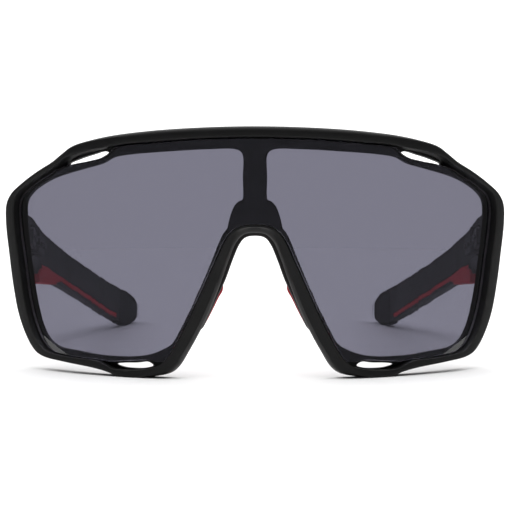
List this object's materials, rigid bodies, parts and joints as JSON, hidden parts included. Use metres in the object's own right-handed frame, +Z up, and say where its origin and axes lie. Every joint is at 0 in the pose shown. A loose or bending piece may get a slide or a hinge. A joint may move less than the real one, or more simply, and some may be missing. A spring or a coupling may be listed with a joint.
{
  "type": "wraparound sport sunglasses",
  "caption": "Wraparound sport sunglasses: one curved smoke shield in a matte black frame with corner vents, and two folding arms with red inserts.",
  "frame": {"origin": "middle of the footprint on the surface that the open glasses stand on", "axes": "+Z up, -Y the way the wearer looks, +X the side named right in the node names"},
  "size_m": [0.1478, 0.1568, 0.0709],
  "materials": {
    "frame_nylon": "matte moulded nylon",
    "smoke_lens": "polished smoke polycarbonate",
    "grey_rubber": "soft moulded rubber",
    "red_rubber": "soft moulded rubber",
    "black_rubber": "soft moulded rubber",
    "hinge_steel": "satin blackened steel"
  },
  "bodies": {
    "root": {"front_frame": "frame_nylon", "shield_lens": "smoke_lens", "nose_saddle": "grey_rubber", "nose_pad_right": "red_rubber", "nose_pad_left": "red_rubber", "hinge_front_leaf_right": "hinge_steel", "hinge_screw_right": "hinge_steel", "hinge_washer_right": "hinge_steel", "front_leaf_screw_1_right": "hinge_steel", "front_leaf_screw_2_right": "hinge_steel", "hinge_front_leaf_left": "hinge_steel", "hinge_screw_left": "hinge_steel", "hinge_washer_left": "hinge_steel", "front_leaf_screw_1_left": "hinge_steel", "front_leaf_screw_2_left": "hinge_steel"},
    "right_temple": {"temple_arm_right": "frame_nylon", "temple_insert_right": "red_rubber", "temple_grip_right": "black_rubber", "hinge_temple_leaf_right": "hinge_steel", "temple_leaf_screw_1_right": "hinge_steel", "temple_leaf_screw_2_right": "hinge_steel"},
    "left_temple": {"temple_arm_left": "frame_nylon", "temple_insert_left": "red_rubber", "temple_grip_left": "black_rubber", "hinge_temple_leaf_left": "hinge_steel", "temple_leaf_screw_1_left": "hinge_steel", "temple_leaf_screw_2_left": "hinge_steel"}
  },
  "joints": [
    {"name": "right_temple_fold", "type": "hinge", "parent": "root", "child": "right_temple", "pos_m": [0.065, -0.02926, 0.0352], "axis": [0, 0.284, 0.9588], "range_deg": [0, 76]},
    {"name": "left_temple_fold", "type": "hinge", "parent": "root", "child": "left_temple", "pos_m": [-0.065, -0.02926, 0.0352], "axis": [0, -0.284, -0.9588], "range_deg": [0, 89]}
  ]
}
